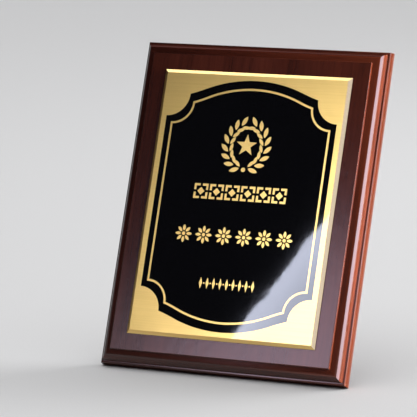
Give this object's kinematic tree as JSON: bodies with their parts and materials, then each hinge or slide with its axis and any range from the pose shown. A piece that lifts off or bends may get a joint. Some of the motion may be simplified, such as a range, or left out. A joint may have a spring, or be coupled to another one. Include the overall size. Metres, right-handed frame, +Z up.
{
  "type": "award plaque with folding easel leg",
  "caption": "Leaning wooden award plaque: routed lacquered board, bevelled gold metal plate with etched black enamel field and ornaments, and a hinged leg behind.",
  "frame": {"origin": "on the table top, under the middle of the standing plaque with its leg open", "axes": "+Z up, the plate faces -Y and leans back towards +Y, +X along the plaque's width"},
  "size_m": [0.2, 0.1126, 0.237],
  "materials": {
    "lacquered_wood": "dark red mahogany stain under semi-gloss lacquer",
    "leg_wood": "dark red stain, satin",
    "gold_metal": "fine horizontal brushing, gold anodised, clear lacquer",
    "black_enamel": "black stoving enamel, high gloss",
    "adhesive_foam": "thin double-sided foam sheet",
    "zinc_steel": "bright zinc plated",
    "brassed_steel": "brass plated steel, lightly dulled",
    "felt": "dense black felt",
    "rubber": "soft black rubber"
  },
  "bodies": {
    "root": {"front_panel": "lacquered_wood", "back_board": "lacquered_wood", "plate_adhesive": "adhesive_foam", "face_plate": "gold_metal", "enamel_field": "black_enamel", "enamel_border": "black_enamel", "board_screws": "zinc_steel", "hanger_plate": "zinc_steel", "hanger_screws": "zinc_steel", "leg_bumper_left": "felt", "leg_bumper_right": "felt", "hinge_leaf_fixed": "brassed_steel", "hinge_pin": "brassed_steel", "hinge_screws_board": "brassed_steel"},
    "leg": {"support_leg": "leg_wood", "hinge_leaf_moving": "brassed_steel", "hinge_screws_leg": "brassed_steel", "leg_foot_pad": "rubber"}
  },
  "joints": [
    {"name": "leg_fold", "type": "hinge", "parent": "root", "child": "leg", "pos_m": [0, 0.00933, 0.13973], "axis": [-1, 0, 0], "range_deg": [0, 36]}
  ]
}
